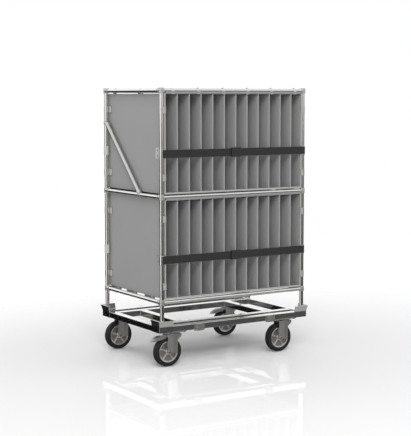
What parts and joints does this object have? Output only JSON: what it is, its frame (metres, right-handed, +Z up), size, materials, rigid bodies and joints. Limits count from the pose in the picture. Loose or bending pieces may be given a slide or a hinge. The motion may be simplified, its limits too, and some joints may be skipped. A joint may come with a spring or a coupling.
{
  "type": "utility cart",
  "caption": "Wheeled steel dolly carrying a loose two-tier pipe rack with upright slotted inserts, straps across the front and swivel casters.",
  "frame": {"origin": "on the floor, under the middle of the cart's overall length and depth", "axes": "+X along the long side, +Y from the open front to the back, +Z up"},
  "size_m": [1.2617, 0.8306, 1.8491],
  "materials": {
    "zinc_steel": "bright zinc plating",
    "pipe_steel": "zinc plated tube",
    "catch_steel": "dull zinc",
    "wheel_alloy": "die cast",
    "tyre_rubber": "solid rubber",
    "panel_grey": "smooth dark grey board",
    "strap_webbing": "woven webbing"
  },
  "bodies": {
    "dolly": {"front_beam": "zinc_steel", "back_beam": "zinc_steel", "side_beam_left": "zinc_steel", "side_beam_right": "zinc_steel", "inner_rail_front": "zinc_steel", "inner_rail_back": "zinc_steel", "cross_member_left": "zinc_steel", "cross_member_right": "zinc_steel", "corner_catch_front_left": "catch_steel", "corner_catch_front_right": "catch_steel", "corner_catch_back_left": "catch_steel", "corner_catch_back_right": "catch_steel", "pin_socket_front_left": "zinc_steel", "pin_socket_front_right": "zinc_steel", "pin_socket_back_left": "zinc_steel", "pin_socket_back_right": "zinc_steel", "caster_plate_front_left": "zinc_steel", "caster_plate_front_right": "zinc_steel", "caster_plate_back_left": "zinc_steel", "caster_plate_back_right": "zinc_steel"},
    "rack": {"post_front_left": "pipe_steel", "post_front_right": "pipe_steel", "post_back_left": "pipe_steel", "post_back_right": "pipe_steel", "bottom_rail_front": "pipe_steel", "bottom_rail_back": "pipe_steel", "bottom_rail_left": "pipe_steel", "bottom_rail_right": "pipe_steel", "mid_rail_front": "pipe_steel", "mid_rail_back": "pipe_steel", "mid_rail_left": "pipe_steel", "mid_rail_right": "pipe_steel", "top_rail_front": "pipe_steel", "top_rail_back": "pipe_steel", "top_rail_left": "pipe_steel", "top_rail_right": "pipe_steel", "diagonal_brace": "pipe_steel", "lower_insert": "panel_grey", "upper_insert": "panel_grey", "lower_strap": "strap_webbing", "upper_strap": "strap_webbing"},
    "swivel_front_left": {"caster_fork_front_left": "zinc_steel", "axle_bolt_front_left": "zinc_steel"},
    "wheel_front_left": {"wheel_rim_front_left": "wheel_alloy", "tyre_front_left": "tyre_rubber"},
    "swivel_front_right": {"caster_fork_front_right": "zinc_steel", "axle_bolt_front_right": "zinc_steel"},
    "wheel_front_right": {"wheel_rim_front_right": "wheel_alloy", "tyre_front_right": "tyre_rubber"},
    "swivel_back_left": {"caster_fork_back_left": "zinc_steel", "axle_bolt_back_left": "zinc_steel"},
    "wheel_back_left": {"wheel_rim_back_left": "wheel_alloy", "tyre_back_left": "tyre_rubber"},
    "swivel_back_right": {"caster_fork_back_right": "zinc_steel", "axle_bolt_back_right": "zinc_steel"},
    "wheel_back_right": {"wheel_rim_back_right": "wheel_alloy", "tyre_back_right": "tyre_rubber"},
    "pedal_front_left": {"brake_pedal_front_left": "zinc_steel"},
    "pedal_back_right": {"brake_pedal_back_right": "zinc_steel"}
  },
  "joints": [
    {"name": "rack_lift", "type": "slide", "parent": "dolly", "child": "rack", "axis": [0, 0, 1], "range_m": [0, 0.1]},
    {"name": "swivel_front_left_turn", "type": "hinge", "parent": "dolly", "child": "swivel_front_left", "pos_m": [-0.44015, -0.342, 0.23], "axis": [0, 0, 1], "continuous": true},
    {"name": "wheel_front_left_spin", "type": "hinge", "parent": "swivel_front_left", "child": "wheel_front_left", "pos_m": [-0.49515, -0.342, 0.1], "axis": [0, 1, 0], "continuous": true},
    {"name": "swivel_front_right_turn", "type": "hinge", "parent": "dolly", "child": "swivel_front_right", "pos_m": [0.46985, -0.342, 0.23], "axis": [0, 0, 1], "continuous": true},
    {"name": "wheel_front_right_spin", "type": "hinge", "parent": "swivel_front_right", "child": "wheel_front_right", "pos_m": [0.41485, -0.342, 0.1], "axis": [0, 1, 0], "continuous": true},
    {"name": "swivel_back_left_turn", "type": "hinge", "parent": "dolly", "child": "swivel_back_left", "pos_m": [-0.44015, 0.342, 0.23], "axis": [0, 0, 1], "continuous": true},
    {"name": "wheel_back_left_spin", "type": "hinge", "parent": "swivel_back_left", "child": "wheel_back_left", "pos_m": [-0.49515, 0.342, 0.1], "axis": [0, 1, 0], "continuous": true},
    {"name": "swivel_back_right_turn", "type": "hinge", "parent": "dolly", "child": "swivel_back_right", "pos_m": [0.46985, 0.342, 0.23], "axis": [0, 0, 1], "continuous": true},
    {"name": "wheel_back_right_spin", "type": "hinge", "parent": "swivel_back_right", "child": "wheel_back_right", "pos_m": [0.41485, 0.342, 0.1], "axis": [0, 1, 0], "continuous": true},
    {"name": "pedal_front_left_press", "type": "hinge", "parent": "swivel_front_left", "child": "pedal_front_left", "pos_m": [-0.51015, -0.342, 0.207], "axis": [0, -1, 0], "range_deg": [0, 8]},
    {"name": "pedal_back_right_press", "type": "hinge", "parent": "swivel_back_right", "child": "pedal_back_right", "pos_m": [0.39985, 0.342, 0.207], "axis": [0, -1, 0], "range_deg": [0, 8]}
  ]
}
